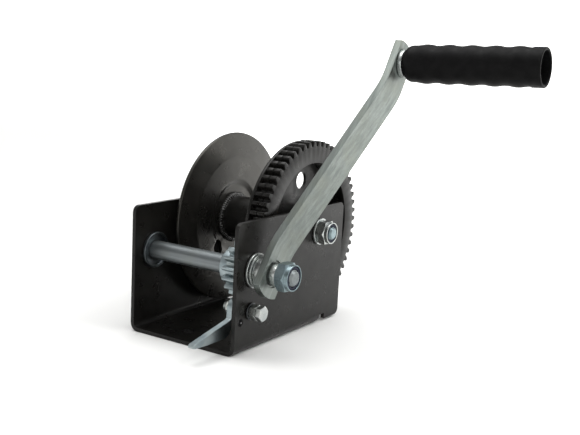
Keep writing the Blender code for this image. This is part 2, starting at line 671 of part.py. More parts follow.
def grip_profile():
    """The grip's section: a domed end at the arm, shallow waves, and a hollow open end."""
    dome = [(GRIP_RADIUS - 5.5 + 5.5 * math.cos(math.radians(a)),
             GRIP_START + 5.5 - 5.5 * math.sin(math.radians(a))) for a in (0, 30, 60, 90)]
    waves = []
    samples = 4
    for i in range(GRIP_WAVE_COUNT * samples + 1):
        phase = 2 * math.pi * i / samples
        x = GRIP_WAVE_START + GRIP_WAVE_PITCH * i / samples
        waves.append((GRIP_RADIUS - GRIP_WAVE * math.cos(phase), x))
    outer = [(GRIP_RADIUS - 0.8, GRIP_END), (GRIP_RADIUS + 0.1, GRIP_END - 0.9),
             (GRIP_RADIUS + 0.1, GRIP_END - 4.5)]
    bore = PIN_RADIUS + 0.5
    inside = [(bore, GRIP_START), (bore, GRIP_HOLLOW_START), (GRIP_HOLLOW_RADIUS, GRIP_HOLLOW_START),
              (GRIP_HOLLOW_RADIUS, GRIP_END - 1.0), (GRIP_HOLLOW_RADIUS + 1.0, GRIP_END)]
    return outer + list(reversed(waves)) + dome + inside


def build_grip():
    turned("grip", grip_profile(), GRIP_AXIS, GRIP_PLASTIC, steps=24)
    head_face = -ARM_THICKNESS - GAP
    washer_face = GRIP_HOLLOW_START + GAP
    nut_face = washer_face + 1.6 + GAP
    turned("grip_pin", [(0, nut_face + 8.5), (3.2, nut_face + 8.5), (4.0, nut_face + 7.7),
                        (4.0, washer_face - 0.3), (PIN_RADIUS, washer_face - 0.3), (PIN_RADIUS, head_face),
                        (8.5, head_face), (7.4, head_face - 2.2), (5.0, head_face - 3.2),
                        (0, head_face - 3.6)], GRIP_AXIS, ZINC, steps=24)
    ring("grip_washer_arm", 10.5, PIN_RADIUS + GAP, GAP, GRIP_START - GAP, GRIP_AXIS, ZINC, 24)
    ring("grip_washer_end", 9.0, 4.0 + GAP, washer_face, washer_face + 1.6, GRIP_AXIS, ZINC, 24)
    hex_piece("grip_nut", 13.0, nut_face, nut_face + 6.5, GRIP_AXIS, ZINC_DARK, bore=4.0 + GAP)


# ---------------------------------------------------------------- pawl


def pawl_nose():
    """The working end, from its lower side round the tooth to its upper side, in the rest position."""
    to_pinion = Vector((PINION_Y - PAWL_Y, PINION_Z - PAWL_Z))
    space_angle = pinion_space_angle() - 2 * math.pi / PINION_TEETH * PAWL_SPACE_STEPS
    middle = Vector((math.cos(space_angle), math.sin(space_angle)))
    across = Vector((-middle.y, middle.x))

    def polar(radius, degrees):
        angle = math.radians(degrees)
        return to_pinion + Vector((radius * math.cos(angle), radius * math.sin(angle)))

    tooth_half_widths = ((20.9, 2.3), (18.2, 1.25), (16.9, 0.75))
    points = [polar(28.0, -54), polar(24.6, -39.5)]
    points += [to_pinion + middle * radius + across * width for radius, width in tooth_half_widths]
    points += [to_pinion + middle * radius - across * width for radius, width in reversed(tooth_half_widths)]
    points += [polar(21.3, angle) for angle in (-56, -67, -78)]
    back = Matrix.Rotation(-PAWL_SWING, 2)
    return [tuple(back @ point) for point in points]


def build_pawl():
    lever = [(-PAWL_HUB_RADIUS, -5.6), (-9.4, -6.9), (-45.5, -14.4), (-48.6, -15.1), (-49.8, -16.4),
             (-49.2, -17.7), (-47.0, -18.2), (-33.6, -18.8), (-14.0, -18.8), (-11.0, -17.6), (-4.5, -9.5)]
    outline = arc(PAWL_HUB_RADIUS, -105, 5, 9) + pawl_nose() + arc(PAWL_HUB_RADIUS, 92, 180, 7) + lever
    pivot = circle(PAWL_BOLT_RADIUS + 0.4, 20)
    spring_hole = circle(1.0, 12, spring_leg_place())
    flat_shape("pawl", [outline, pivot, spring_hole], *PAWL_FACES, PAWL_AXIS, ZINC)


def spring_start_angle():
    """Where the spring's outer leg leaves the coil, on the tangent from the small hole in the plate."""
    y, z = SPRING_HOLE[0] - PAWL_Y, SPRING_HOLE[1] - PAWL_Z
    return math.atan2(z, y) - math.acos(SPRING_RADIUS / math.hypot(y, z))


def spring_leg_place():
    angle = spring_start_angle() + 2 * math.pi * SPRING_TURNS
    return SPRING_RADIUS * math.cos(angle), SPRING_RADIUS * math.sin(angle)


def spring_path():
    """Points as (x, y, z) from the plate's hole, round the coil, to the hole in the pawl."""
    start_x, end_x = SPRING_SPAN
    hole_y, hole_z = SPRING_HOLE[0] - PAWL_Y, SPRING_HOLE[1] - PAWL_Z
    path = [(FRAME_HALF_WIDTH + 0.6, hole_y, hole_z), (start_x + 0.5, hole_y, hole_z),
            (start_x + 0.1, hole_y * 0.97, hole_z * 0.97)]
    count = round(SPRING_TURNS * 12)
    for i in range(count + 1):
        angle = spring_start_angle() + 2 * math.pi * SPRING_TURNS * i / count
        x = start_x + (end_x - start_x) * i / count
        path.append((x, SPRING_RADIUS * math.cos(angle), SPRING_RADIUS * math.sin(angle)))
    leg_y, leg_z = spring_leg_place()
    return path + [(end_x - 0.8, leg_y, leg_z), (PAWL_FACES[0] + 0.3, leg_y, leg_z)]


def build_spring():
    curve = bpy.data.curves.new("pawl_spring", "CURVE")
    curve.dimensions = "3D"
    curve.bevel_depth = SPRING_WIRE * MM
    curve.bevel_resolution = 2
    curve.use_fill_caps = True
    path = spring_path()
    spline = curve.splines.new("POLY")
    spline.points.add(len(path) - 1)
    for point, place in zip(spline.points, path):
        point.co = (*[value * MM for value in place], 1.0)
    spring = bpy.data.objects.new("pawl_spring", curve)
    spring.parent = PAWL_AXIS
    curve.materials.append(SPRING_STEEL)
    WINCH.objects.link(spring)


def build_pawl_bolt():
    plate_out = FRAME_HALF_WIDTH + GAP
    bolt = hex_piece("pawl_bolt", M6_ACROSS_FLATS, 55.4, 59.4, PAWL_AXIS, ZINC)
    shank = turned("pawl_shank", [(0, 57), (PAWL_BOLT_RADIUS, 57), (PAWL_BOLT_RADIUS, 26.2),
                                  (PAWL_BOLT_RADIUS - 0.7, 25.5), (0, 25.5)], PAWL_AXIS, steps=20,
                   cutter=True)
    boolean(bolt, shank, "UNION")
    bore = PAWL_BOLT_RADIUS + GAP
    ring("pawl_bolt_washer", 6.2, bore, plate_out, plate_out + 1.2, PAWL_AXIS, ZINC, 20)
    hex_piece("pawl_lock_nut", M6_ACROSS_FLATS, plate_out + 1.5, plate_out + 6.5, PAWL_AXIS, ZINC, bore=bore)
    ring("pawl_spacer", 4.7, bore, PAWL_FACES[1] + GAP, INNER_X - GAP, PAWL_AXIS, STEEL, 20)
    hex_piece("pawl_inner_nut", M6_ACROSS_FLATS, PAWL_FACES[0] - GAP - 3.2, PAWL_FACES[0] - GAP, PAWL_AXIS,
              ZINC, bore=bore, crown=-1)


build_frame()
build_axle()
build_ring_gear()
build_pinion()
build_drum()
build_shaft()
build_crank_arm()
build_grip()
build_pawl()
build_spring()
build_pawl_bolt()
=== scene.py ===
"""Looks of the boat trailer winch: finer pieces, materials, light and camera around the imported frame.

Lengths are in millimetres until a mesh is made.  Shapes are turned, extruded or swept about the axes
of the frame's joints, and their places come from the boxes of the CAD nodes that they stand for.
"""

import json
import math

import bmesh
import bpy
from mathutils import Matrix, Vector

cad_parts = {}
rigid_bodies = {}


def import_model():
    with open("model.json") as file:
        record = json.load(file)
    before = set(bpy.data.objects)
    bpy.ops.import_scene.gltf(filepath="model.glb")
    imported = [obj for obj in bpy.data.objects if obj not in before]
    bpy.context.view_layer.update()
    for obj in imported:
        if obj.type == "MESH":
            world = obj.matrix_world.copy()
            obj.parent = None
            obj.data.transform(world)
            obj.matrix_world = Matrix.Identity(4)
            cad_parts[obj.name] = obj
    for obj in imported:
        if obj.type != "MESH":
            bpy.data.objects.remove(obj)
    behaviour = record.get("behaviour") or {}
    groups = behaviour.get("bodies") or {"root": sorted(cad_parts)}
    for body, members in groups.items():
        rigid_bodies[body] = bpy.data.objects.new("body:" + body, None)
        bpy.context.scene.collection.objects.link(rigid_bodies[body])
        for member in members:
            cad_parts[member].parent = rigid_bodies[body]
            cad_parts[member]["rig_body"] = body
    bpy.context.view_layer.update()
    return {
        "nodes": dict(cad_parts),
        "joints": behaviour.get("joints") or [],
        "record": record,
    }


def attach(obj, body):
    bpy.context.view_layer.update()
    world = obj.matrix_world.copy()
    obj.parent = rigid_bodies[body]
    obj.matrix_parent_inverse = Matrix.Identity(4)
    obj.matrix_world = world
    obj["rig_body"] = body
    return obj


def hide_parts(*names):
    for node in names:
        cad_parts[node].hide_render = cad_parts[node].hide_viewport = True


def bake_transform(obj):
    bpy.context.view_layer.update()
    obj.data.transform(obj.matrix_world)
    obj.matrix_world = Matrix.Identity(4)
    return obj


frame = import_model()

MM = 0.001
TAU = 2 * math.pi

JOINTS = {joint["name"]: joint for joint in frame["joints"]}
SLOTS = {row["node"]: row["material_slot"] for row in frame["record"]["subparts"]}


# ---------------------------------------------------------------- places


def axis_place(joint_name):
    """A matrix, in millimetres, whose X axis lies along a joint and whose origin is on it."""
    joint = JOINTS[joint_name]
    along = Vector(joint["axis"]).normalized()
    turn = Vector((1, 0, 0)).rotation_difference(along).to_matrix().to_4x4()
    return Matrix.Translation(Vector(joint["pos_m"]) / MM) @ turn


DRUM = axis_place("drum_spin")
SHAFT = axis_place("pinion_spin")
PAWL = axis_place("pawl_tilt")
GRIP = axis_place("grip_spin")


def span(node, place):
    """A CAD node's lowest and highest position along a place's X axis, in millimetres."""
    back = place.inverted()
    along = [(back @ (vertex.co / MM)).x for vertex in frame["nodes"][node].data.vertices]
    return min(along), max(along)


def reach(node, place):
    """A CAD node's greatest distance from a place's X axis, in millimetres."""
    back = place.inverted()
    return max((back @ (vertex.co / MM)).yz.length for vertex in frame["nodes"][node].data.vertices)


# ---------------------------------------------------------------- materials


class Look:
    """A Principled material whose colour, roughness and bump come from layered noise."""

    def __init__(self, name, metallic=0.0, specular=0.5):
        self.material = bpy.data.materials.new(name)
        self.material.use_nodes = True
        self.nodes = self.material.node_tree.nodes
        self.links = self.material.node_tree.links
        self.shader = self.nodes["Principled BSDF"]
        self.shader.inputs["Metallic"].default_value = metallic
        self.shader.inputs["Specular IOR Level"].default_value = specular
        self.place = self.nodes.new("ShaderNodeTexCoord").outputs["Object"]

    def noise(self, size, detail=3.0, stretch=(1.0, 1.0, 1.0), turn=(0.0, 0.0, 0.0)):
        """Noise whose features are about size millimetres across, longer where stretch is above 1."""
        turned = self.nodes.new("ShaderNodeMapping")
        turned.inputs["Rotation"].default_value = turn
        self.links.new(self.place, turned.inputs["Vector"])
        scaled = self.nodes.new("ShaderNodeMapping")
        scaled.inputs["Scale"].default_value = [1 / (size * MM * s) for s in stretch]
        self.links.new(turned.outputs["Vector"], scaled.inputs["Vector"])
        texture = self.nodes.new("ShaderNodeTexNoise")
        texture.inputs["Scale"].default_value = 1.0
        texture.inputs["Detail"].default_value = detail
        self.links.new(scaled.outputs["Vector"], texture.inputs["Vector"])
        return texture.outputs["Fac"]

    def remap(self, value, low, high, to_low, to_high):
        step = self.nodes.new("ShaderNodeMapRange")
        step.inputs["From Min"].default_value = low
        step.inputs["From Max"].default_value = high
        step.inputs["To Min"].default_value = to_low
        step.inputs["To Max"].default_value = to_high
        self.links.new(value, step.inputs["Value"])
        return step.outputs["Result"]

    def blend(self, share, first, second):
        """A colour between two, each a tuple or another node's output."""
        mix = self.nodes.new("ShaderNodeMix")
        mix.data_type = "RGBA"
        self.links.new(share, mix.inputs["Factor"])
        for socket, colour in ((mix.inputs[6], first), (mix.inputs[7], second)):
            if isinstance(colour, tuple):
                socket.default_value = (*colour, 1.0)
            else:
                self.links.new(colour, socket)
        return mix.outputs[2]

    def colour(self, output):
        self.links.new(output, self.shader.inputs["Base Color"])

    def roughness(self, output):
        self.links.new(output, self.shader.inputs["Roughness"])

    def bumps(self, *layers):
        """Bump from (height output, depth in millimetres) layers, one on top of the other."""
        below = None
        for height, depth in layers:
            bump = self.nodes.new("ShaderNodeBump")
            bump.inputs["Strength"].default_value = 1.0
            bump.inputs["Distance"].default_value = depth * MM
            self.links.new(height, bump.inputs["Height"])
            if below:
                self.links.new(below, bump.inputs["Normal"])
            below = bump.outputs["Normal"]
        self.links.new(below, self.shader.inputs["Normal"])


def powder_coat(name, dark, light, shine=0.30, peel=0.005, specular=0.5, gloss_tint=(1.0, 1.0, 1.0)):
    """Satin black powder coat: orange peel and a cloudy sheen."""
    look = Look(name, specular=specular)
    look.shader.inputs["Specular Tint"].default_value = (*gloss_tint, 1.0)
    clouds = look.remap(look.noise(22, 4), 0.35, 0.65, 0.0, 1.0)
    look.colour(look.blend(clouds, dark, light))
    look.roughness(look.remap(look.noise(9, 5), 0.3, 0.7, shine - 0.05, shine + 0.09))
    look.bumps((look.noise(1.2, 2), peel), (look.noise(14, 1), 0.04))
    return look.material


def zinc(name, dark, light, tint, shine, grain=None, turn=(0.0, 0.0, 0.0), depth=0.004, specks=0.3):
    """Zinc plate: cloudy passivated tint, with grain along one direction where it is given."""
    look = Look(name, metallic=1.0)
    stretch = grain or (1.0, 1.0, 1.0)
    clouds = look.remap(look.noise(3 if grain else 9, 4, stretch, turn), 0.35, 0.65, 0.0, 1.0)
    fine = look.remap(look.noise(0.5, 4, stretch, turn), 0.35, 0.65, 0.0, specks)
    passive = look.remap(look.noise(14, 3), 0.45, 0.72, 0.0, 0.6)
    base = look.blend(passive, look.blend(clouds, dark, light), tint)
    look.colour(look.blend(fine, base, tuple(0.72 * value for value in dark)))
    look.roughness(look.remap(look.noise(0.9, 4, stretch, turn), 0.3, 0.7, shine - 0.06, shine + 0.08))
    look.bumps((look.noise(0.35, 3, stretch, turn), depth), (look.noise(1.8, 3, stretch, turn), 1.5 * depth))
    return look.material


def turned_steel(name, colour, shine):
    """Bright steel with fine rings round the X axis."""
    look = Look(name, metallic=1.0)
    rings = look.noise(0.3, 3, (0.4, 60.0, 60.0))
    look.colour(look.blend(look.noise(6, 3), colour, tuple(0.75 * value for value in colour)))
    look.roughness(look.remap(rings, 0.3, 0.7, shine - 0.06, shine + 0.1))
    look.bumps((rings, 0.01))
    return look.material


def moulded(name, dark, light, shine, depth, specular=0.5):
    """Moulded plastic: a fine matt texture with soft handling marks."""
    look = Look(name, specular=specular)
    look.colour(look.blend(look.remap(look.noise(6, 4), 0.35, 0.65, 0.0, 1.0), dark, light))
    look.roughness(look.remap(look.noise(4, 5), 0.3, 0.7, shine - 0.06, shine + 0.08))
    look.bumps((look.noise(0.35, 2), depth))
    return look.material


ARM_LEAN = math.atan2(*(Vector(JOINTS["grip_spin"]["pos_m"]) - Vector(JOINTS["pinion_spin"]["pos_m"])).yz)
ALONG_ARM = (1.0, 1.0, 26.0)
ALONG_SHAFT = (40.0, 1.0, 1.0)

LOOKS = {
    "black_paint": powder_coat("black_powder_coat", (0.0050, 0.0047, 0.0042), (0.0085, 0.0080, 0.0070),
                               specular=0.22),
    "drum_paint": powder_coat("drum_powder_coat", (0.0046, 0.0043, 0.0038), (0.0084, 0.0080, 0.0070),
                              0.29, specular=0.55, gloss_tint=(1.0, 0.965, 0.88)),
    "hub_paint": powder_coat("hub_powder_coat", (0.0045, 0.0043, 0.0038), (0.0075, 0.0072, 0.0064), 0.30,
                             specular=0.35),
    "weld": powder_coat("painted_weld", (0.009, 0.0088, 0.008), (0.017, 0.0165, 0.015), 0.24, 0.06),
    "zinc_plate": zinc("zinc_plate", (0.42, 0.45, 0.45), (0.58, 0.60, 0.585), (0.50, 0.52, 0.47), 0.30),
    "zinc_gear": zinc("zinc_gear", (0.24, 0.29, 0.31), (0.36, 0.41, 0.42), (0.30, 0.34, 0.33), 0.38,
                      specks=0.2),
    "zinc_shaft": zinc("zinc_shaft", (0.175, 0.193, 0.200), (0.225, 0.245, 0.252),
                       (0.195, 0.213, 0.200), 0.43, ALONG_SHAFT),
    "zinc_arm": zinc("brushed_zinc", (0.165, 0.185, 0.174), (0.245, 0.270, 0.254),
                     (0.210, 0.225, 0.194), 0.38, ALONG_ARM, (ARM_LEAN, 0.0, 0.0), 0.008, 0.35),
    "zinc_nut": zinc("blue_zinc", (0.145, 0.195, 0.215), (0.24, 0.305, 0.325), (0.20, 0.245, 0.235), 0.32,
                     specks=0.2),
    "zinc_dull": zinc("dull_zinc", (0.11, 0.125, 0.135), (0.17, 0.19, 0.20), (0.14, 0.155, 0.155), 0.34),
    "plain_steel": turned_steel("turned_steel", (0.50, 0.50, 0.49), 0.30),
    # dark steel for the washer under the pawl's lock nut: its dark colour is painted shade below the nut
    "dark_steel": turned_steel("shaded_dark_steel", (0.10, 0.105, 0.11), 0.42),
    "spring_steel": turned_steel("spring_wire", (0.36, 0.36, 0.37), 0.28),
    "nylon": moulded("dark_nylon", (0.004, 0.006, 0.020), (0.008, 0.011, 0.030), 0.50, 0.01, 0.2),
    "bronze": turned_steel("bush_bronze", (0.45, 0.33, 0.18), 0.38),
    "grip_plastic": moulded("grip_plastic", (0.0034, 0.0034, 0.0036), (0.0052, 0.0052, 0.0053),
                            0.50, 0.02, 0.07),
}


# ---------------------------------------------------------------- mesh tools


def polar(radius, angle):
    """The Y and Z of a point at an angle round a place's X axis."""
    return radius * math.cos(angle), radius * math.sin(angle)


def object_from(name, shape, sharp=34):
    """Turn a bmesh in millimetres into a smooth-shaded object in metres."""
    bmesh.ops.remove_doubles(shape, verts=shape.verts, dist=0.0005)
    bmesh.ops.recalc_face_normals(shape, faces=shape.faces)
    bmesh.ops.scale(shape, vec=(MM, MM, MM), verts=shape.verts)
    mesh = bpy.data.meshes.new(name)
    shape.to_mesh(mesh)
    shape.free()
    mesh.shade_smooth()
    mesh.set_sharp_from_angle(angle=math.radians(sharp))
    made = bpy.data.objects.new(name, mesh)
    bpy.context.scene.collection.objects.link(made)
    return made


def stand_in(piece, node, look=None, rides=True):
    """Let a piece stand for a CAD node, on its body unless it bends between two, with its material."""
    slot = SLOTS[node]
    piece.data.materials.clear()
    piece.data.materials.append(LOOKS[look or slot])
    if rides:
        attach(piece, frame["nodes"][node]["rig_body"])
    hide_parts(node)
    return piece


def filleted(points, radius, closed=True, count=4, least_turn=20):
    """Round the corners of a polyline that turn by more than least_turn degrees."""
    made = []
    total = len(points)
    for i, point in enumerate(points):
        here = Vector(point)
        before, after = Vector(points[i - 1]) - here, Vector(points[(i + 1) % total]) - here
        at_end = not closed and i in (0, total - 1)
        if at_end or before.length < 1e-6 or after.length < 1e-6:
            made.append(tuple(here))
            continue
        turn = math.pi - before.angle(after)
        if math.degrees(turn) < least_turn:
            made.append(tuple(here))
            continue
        cut = min(radius * math.tan(turn / 2), 0.45 * before.length, 0.45 * after.length)
        start, end = here + before.normalized() * cut, here + after.normalized() * cut
        for step in range(count + 1):
            t = step / count
            made.append(tuple((1 - t) ** 2 * start + 2 * t * (1 - t) * here + t * t * end))
    return made


def revolve(name, rows, place, steps=96, sharp=34, first_angle=0.0):
    """Turn rows about a place's X axis; a row is (radius, x) or a function of the angle giving it."""
    shape = bmesh.new()
    add_turned(shape, rows, place, steps, first_angle)
    return object_from(name, shape, sharp)


def add_turned(shape, rows, place, steps=96, first_angle=0.0):
    rings = []
    for row in rows:
        ring = []
        for i in range(steps):
            angle = first_angle + TAU * i / steps
            radius, x = row(angle) if callable(row) else row
            ring.append(shape.verts.new(place @ Vector((x, *polar(radius, angle)))))
        rings.append(ring)

    def on_axis(row):
        return not callable(row) and abs(row[0]) < 1e-6

    hollow = not (on_axis(rows[0]) and on_axis(rows[-1]))
    pairs = list(zip(rings, rings[1:])) + ([(rings[-1], rings[0])] if hollow else [])
    for first, second in pairs:
        for i in range(steps):
            j = (i + 1) % steps
            shape.faces.new((first[i], first[j], second[j], second[i]))
    bmesh.ops.remove_doubles(shape, verts=shape.verts, dist=0.0005)
    bmesh.ops.dissolve_degenerate(shape, edges=shape.edges, dist=0.0001)


def slab(name, loops, low, high, place, edge=0.4, sharp=34):
    """Extrude outlines in a place's YZ plane from one X to another, with rounded edges.

    Loops after the first are holes.
    """
    shape = bmesh.new()
    add_slab(shape, loops, low, high, place, edge)
    return object_from(name, shape, sharp)


def add_slab(shape, loops, low, high, place, edge):
    ends = {low: [], high: []}
    levels = [(low, edge), (low + 0.3 * edge, 0.3 * edge), (low + edge, 0.0),
              (high - edge, 0.0), (high - 0.3 * edge, 0.3 * edge), (high, edge)]
    for number, loop in enumerate(loops):
        area = sum(a[0] * b[1] - b[0] * a[1] for a, b in zip(loop, loop[1:] + loop[:1]))
        points = loop if (area > 0) == (number == 0) else loop[::-1]
        rings = []
        for x, inset in levels:
            rings.append([shape.verts.new(place @ Vector((x, y, z))) for y, z in inward(points, inset)])
        total = len(points)
        for first, second in zip(rings, rings[1:]):
            for i in range(total):
                j = (i + 1) % total
                shape.faces.new((first[i], first[j], second[j], second[i]))
        for x, ring in ((low, rings[0]), (high, rings[-1])):
            ends[x] += [shape.edges.get((ring[i], ring[(i + 1) % total])) for i in range(total)]
    for edges in ends.values():
        bmesh.ops.triangle_fill(shape, edges=edges, use_beauty=True, normal=place.to_3x3().col[0])


def inward(points, inset):
    """Move a closed outline's points towards the material on its left."""
    if not inset:
        return points
    moved = []
    for i, (y, z) in enumerate(points):
        before, after = Vector(points[i - 1]), Vector(points[(i + 1) % len(points)])
        here = Vector((y, z))
        first, second = (here - before).normalized(), (after - here).normalized()
        normal = Vector((-first.y - second.y, first.x + second.x))
        length = max(normal.length, 1e-6)
        stretch = min(1.0 / max(0.5 * length, 0.5), 1.6)
        moved.append(tuple(here + normal / length * inset * stretch))
    return moved


def ring_rows(outer, inner, low, high, edge=0.3):
    return filleted([(outer, high), (outer, low), (inner, low), (inner, high)], edge)


def circle(radius, count, centre=(0.0, 0.0)):
    return [(centre[0] + radius * math.cos(TAU * i / count), centre[1] + radius * math.sin(TAU * i / count))
            for i in range(count)]


def softened(node, name, edge, look=None, sharp=34):
    """A copy of a CAD node whose mesh is welded, cleared of flat seams and given rounded edges."""
    shape = bmesh.new()
    shape.from_mesh(frame["nodes"][node].data)
    bmesh.ops.scale(shape, vec=(1 / MM,) * 3, verts=shape.verts)
    bmesh.ops.remove_doubles(shape, verts=shape.verts, dist=0.003)
    bmesh.ops.dissolve_limit(shape, angle_limit=math.radians(0.6), verts=shape.verts, edges=shape.edges)
    piece = object_from(name, shape, sharp)
    bevel = piece.modifiers.new("rounded edges", "BEVEL")
    bevel.width = edge * MM
    bevel.segments = 3
    bevel.limit_method = "ANGLE"
    bevel.angle_limit = math.radians(42)
    bevel.harden_normals = True
    return stand_in(piece, node, look)


# ---------------------------------------------------------------- screws, nuts and washers

M6_FLATS, M8_FLATS, M10_FLATS, M12_FLATS = 10.0, 13.0, 17.0, 19.0
M6_PITCH, M8_PITCH, M10_PITCH, M12_PITCH = 1.0, 1.25, 1.5, 1.75
HEAD_TURN = math.radians(12)


def thread_rows(radius, pitch, low, high, tip=0.0, samples=8):
    """Rows of a right-hand screw thread from one X to another, tapering towards the high end by tip."""
    depth = 0.55 * pitch

    def row_at(x):
        def row(angle):
            phase = (x / pitch - angle / TAU) % 1.0
            ridge = 1 - abs(2 * phase - 1)
            limit = radius - max(0.0, x - (high - tip))
            return min(radius - depth * (1 - min(1.0, 1.25 * ridge)), limit), x
        return row

    count = max(2, round((high - low) / pitch * samples))
    return [row_at(low + (high - low) * i / count) for i in range(count + 1)]


def hex_rows(across_flats, low, high, turn, chamfer_low=True, chamfer_high=True):
    """Rows of a hexagon whose corners are cut by a 30 degree cone at its ends."""
    half = across_flats / 2

    def radius_at(angle):
        return half / math.cos((angle - turn) % (TAU / 6) - TAU / 12)

    def end_row(x, inwards, chamfered):
        face = 0.95 * half if chamfered else None

        def row(angle):
            radius = radius_at(angle)
            return radius, x + inwards * ((radius - face) * math.tan(math.radians(30)) if face else 0.0)
        return ([(face, x)] if face else []) + [row]

    return end_row(low, 1, chamfer_low) + end_row(high, -1, chamfer_high)[::-1]


def nyloc(node, across_flats, bore, place, turn, look=None):
    """A lock nut with a rolled collar over its nylon ring."""
    low, high = span(node, place)
    collar_low = low + 0.72 * (high - low)
    collar = 0.97 * across_flats / 2
    ring_low, ring_high = span(node + "_insert", place)
    ring_radius = reach(node + "_insert", place)
    lip = filleted([(collar, collar_low), (collar, high), (ring_radius + 0.3, high),
                    (ring_radius + 0.3, ring_low - 0.3)], 1.1, closed=False)
    rows = hex_rows(across_flats, low, collar_low, turn) + lip + [(bore, ring_low - 0.3), (bore, low)]
    stand_in(revolve(node + "_fine", rows, place, 96, 30, turn), node, look)
    insert = ring_rows(ring_radius, bore, ring_low, ring_high, 0.4)
    stand_in(revolve(node + "_insert_fine", insert, place, 64), node + "_insert")


def plain_nut(node, across_flats, bore, place, turn, look=None):
    low, high = span(node, place)
    rows = hex_rows(across_flats, low, high, turn)
    rows += filleted([(bore + 0.5, high), (bore, high - 0.5), (bore, low + 0.5), (bore + 0.5, low)],
                     0.1, closed=False)
    stand_in(revolve(node + "_fine", rows, place, 96, 30, turn), node, look)


def washer(node, inner, place, edge=0.35, steps=96, look=None):
    low, high = span(node, place)
    piece = revolve(node + "_fine", ring_rows(reach(node, place), inner, low, high, edge), place, steps)
    return stand_in(piece, node, look)


def build_axle():
    low, high = span("axle_bolt", DRUM)
    radius, head = 5.0, 6.4
    thread_start = high - 16
    rows = [(0, low)] + hex_rows(M10_FLATS, low, low + head, HEAD_TURN, True, False)
    rows += [(radius, low + head), (radius, thread_start)]
    rows += thread_rows(radius, M10_PITCH, thread_start, high, tip=1.2) + [(0, high)]
    stand_in(revolve("axle_bolt_fine", rows, DRUM, 96, 30, HEAD_TURN), "axle_bolt")
    nyloc("axle_nut", M10_FLATS, radius + 0.3, DRUM, 0.0, "zinc_plate")
    washer("axle_washer_left", 5.4, DRUM)
    washer("axle_washer_right", 5.4, DRUM)
    washer("axle_sleeve", 5.5, DRUM, 0.5)


# ---------------------------------------------------------------- gears

MODULE = 2.25
PRESSURE_ANGLE = math.radians(20)
THINNING = 0.16
GEAR_TEETH, PINION_TEETH = 60, 16
GEAR_TOOTH_ANGLE = math.radians(186.92)


def tooth_half_angle(radius, teeth):
    pitch_radius = MODULE * teeth / 2
    base_radius = pitch_radius * math.cos(PRESSURE_ANGLE)
    slope = math.acos(min(1.0, base_radius / max(radius, base_radius)))
    involute = math.tan(PRESSURE_ANGLE) - PRESSURE_ANGLE - math.tan(slope) + slope
    return math.pi / 2 / teeth + involute - THINNING / 2 / pitch_radius


def gear_outline(teeth, tip_radius, tooth_angle):
    """A closed outline with involute flanks, small root fillets and eased tips."""
    pitch_radius = MODULE * teeth / 2
    root = pitch_radius - 1.25 * MODULE
    flank = [root + (tip_radius - root) * share for share in (0.0, 0.3, 0.5, 0.7, 0.85, 1.0)]
    points = []
    for tooth in range(teeth):
        middle = tooth_angle + TAU * tooth / teeth
        sides = [(radius, middle - tooth_half_angle(radius, teeth)) for radius in flank]
        sides += [(radius, middle + tooth_half_angle(radius, teeth)) for radius in reversed(flank)]
        points += [polar(radius, angle) for radius, angle in sides]
    return filleted(points, 0.45, least_turn=35, count=3)


def shaft_tooth_angle():
    """Where a pinion tooth points, so that a space faces the ring gear's nearest tooth."""
    offset = DRUM.translation - SHAFT.translation
    tilt = math.atan2(offset.z, offset.y)
    ratio = GEAR_TEETH / PINION_TEETH
    return tilt - ratio * (GEAR_TOOTH_ANGLE - tilt - math.pi) + math.pi / PINION_TEETH


def build_gears():
    tip = reach("gear_ring_outer", DRUM)
    outline = gear_outline(GEAR_TEETH, tip, GEAR_TOOTH_ANGLE)
    for node in ("gear_ring_inner", "gear_ring_outer"):
        low, high = span(node, DRUM)
        stand_in(slab(node + "_fine", [outline, circle(52.0, 144)], low, high, DRUM, 0.35), node)
    low, high = span("pinion_gear", SHAFT)
    collar_length, bore, collar, edge, seam = 7.6, 7.3, 12.8, 1.0, 0.02
    teeth_low = low + collar_length
    shape = bmesh.new()
    teeth = gear_outline(PINION_TEETH, reach("pinion_gear", SHAFT), shaft_tooth_angle())
    add_slab(shape, [teeth, circle(bore, 64)], teeth_low, high, SHAFT, 0.4)
    add_turned(shape, filleted([(collar, teeth_low - seam), (collar, low), (bore, low),
                                (bore, teeth_low - seam)], edge), SHAFT)
    stand_in(object_from("pinion_gear_fine", shape), "pinion_gear", "zinc_gear")


# ---------------------------------------------------------------- drum

TUBE_RADIUS, TUBE_BORE = 17.5, 13.0
FLANGE_THICKNESS = 2.6
ROPE_HOLE = (-21.2, -22.3, 6.0)
SIGHT_CIRCLE, SIGHT_RADIUS = 37.0, 6.6


def build_drum():
    low, high = span("drum_hub_tube", DRUM)
    tube = revolve("drum_hub_tube_fine", ring_rows(TUBE_RADIUS, TUBE_BORE, low, high, 0.5), DRUM, 128)
    stand_in(tube, "drum_hub_tube", "hub_paint")
    build_left_flange()
    low, high = span("drum_flange_right", DRUM)
    holes = [circle(TUBE_RADIUS + 0.3, 96)]
    for turn in range(3):
        angle = math.radians(86 + 120 * turn)
        holes.append(circle(SIGHT_RADIUS, 48, polar(SIGHT_CIRCLE, angle)))
    disc = slab("drum_flange_right_fine", [circle(reach("drum_flange_right", DRUM), 192)] + holes, low, high,
                DRUM, 0.5)
    stand_in(disc, "drum_flange_right")
    for node, side in (("hub_weld_left", 1), ("hub_weld_right", -1)):
        build_hub_weld(node, side)
    for number in range(4):
        build_gear_weld(number)
    for node, side in (("drum_bush_left", -1), ("drum_bush_right", 1)):
        build_drum_bush(node, side)


